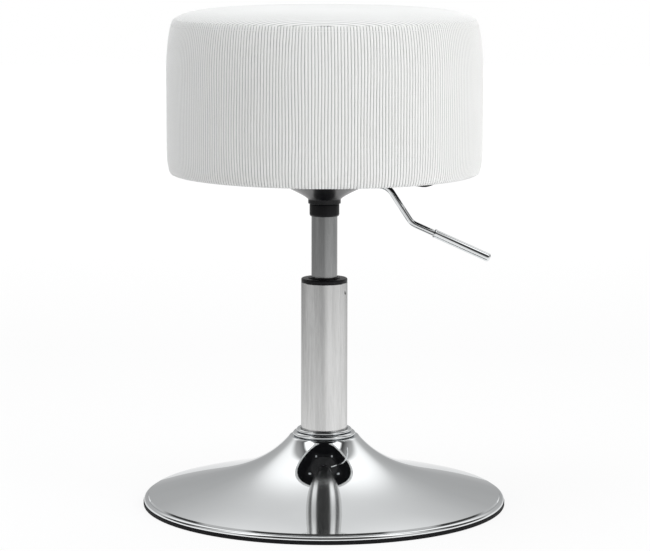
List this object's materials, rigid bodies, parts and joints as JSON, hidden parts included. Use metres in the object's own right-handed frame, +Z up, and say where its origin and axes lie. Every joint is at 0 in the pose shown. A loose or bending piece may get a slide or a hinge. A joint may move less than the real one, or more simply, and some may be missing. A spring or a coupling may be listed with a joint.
{
  "type": "height-adjustable swivel stool",
  "caption": "Swivel stool with a deep round corduroy drum seat on a gas-lift column, a side release lever and a chrome trumpet base.",
  "frame": {"origin": "on the floor, in the middle of the base, on the column's axis", "axes": "+Z up along the column, +X towards the release lever, -Y towards the viewer of the front"},
  "size_m": [0.3922, 0.3922, 0.5371],
  "materials": {
    "chrome": "polished",
    "satin_steel": "satin",
    "ground_steel": "satin",
    "zinc": "satin",
    "black_paint": "gloss",
    "black_plastic": "satin",
    "rubber": "matte",
    "grey_plastic": "satin",
    "red_plastic": "satin",
    "plywood": "matte",
    "foam": "matte",
    "corduroy": "matte",
    "dust_cloth": "matte"
  },
  "bodies": {
    "base": {"floor_ring": "rubber", "base_shell": "chrome", "base_plate": "zinc", "stud_plug": "zinc", "column_washer": "zinc", "column_nut": "zinc", "column_tube": "satin_steel", "collar_lower": "chrome", "collar_upper": "chrome", "rod_carrier": "zinc", "lower_race": "ground_steel", "guide_bush": "black_plastic"},
    "cage": {"ball_cage": "grey_plastic", "bearing_ball_1": "ground_steel", "bearing_ball_2": "ground_steel", "bearing_ball_3": "ground_steel", "bearing_ball_4": "ground_steel", "bearing_ball_5": "ground_steel", "bearing_ball_6": "ground_steel", "bearing_ball_7": "ground_steel", "bearing_ball_8": "ground_steel"},
    "rod": {"piston_rod": "ground_steel", "rod_clip": "ground_steel", "rod_washer": "zinc", "upper_race": "ground_steel", "rod_bumper": "rubber", "piston_head": "zinc", "piston_seal": "rubber"},
    "seat": {"gas_cylinder": "ground_steel", "rod_guide": "grey_plastic", "rod_seal": "rubber", "valve_body": "zinc", "bumper_ring": "black_plastic", "taper_socket": "zinc", "plate_bell": "black_paint", "lever_bracket": "zinc", "lever_pin": "ground_steel", "pin_clip": "ground_steel", "seat_plate": "black_paint", "plate_bolt_1": "zinc", "plate_bolt_2": "zinc", "plate_bolt_3": "zinc", "plate_bolt_4": "zinc", "t_nut_1": "zinc", "t_nut_2": "zinc", "t_nut_3": "zinc", "t_nut_4": "zinc", "dust_cover": "dust_cloth", "seat_board": "plywood", "foam_core": "foam", "foam_crown": "foam", "seat_cover_side": "corduroy", "seat_cover_top": "corduroy"},
    "lever": {"lever_rod": "chrome", "lever_grip": "chrome"},
    "button": {"release_button": "red_plastic"}
  },
  "joints": [
    {"name": "swivel", "type": "hinge", "parent": "base", "child": "rod", "pos_m": [0, 0, 0], "axis": [0, 0, 1], "continuous": true},
    {"name": "cage_spin", "type": "hinge", "parent": "base", "child": "cage", "pos_m": [0, 0, 0], "axis": [0, 0, 1], "continuous": true},
    {"name": "lift", "type": "slide", "parent": "rod", "child": "seat", "axis": [0, 0, 1], "range_m": [-0.062, 0.07]},
    {"name": "lever_lift", "type": "hinge", "parent": "seat", "child": "lever", "pos_m": [0.024, 0, 0.346], "axis": [0, -1, 0], "range_deg": [0, 8], "stiffness_Nm_per_rad": 2, "springref_deg": -11.46},
    {"name": "button_press", "type": "slide", "parent": "seat", "child": "button", "axis": [0, 0, -1], "range_m": [0, 0.0036]}
  ],
  "couplings": [
    {"joint": "cage_spin", "follows": "swivel", "ratio": 0.5},
    {"joint": "button_press", "follows": "lever_lift", "m_per_rad": 0.0252}
  ]
}
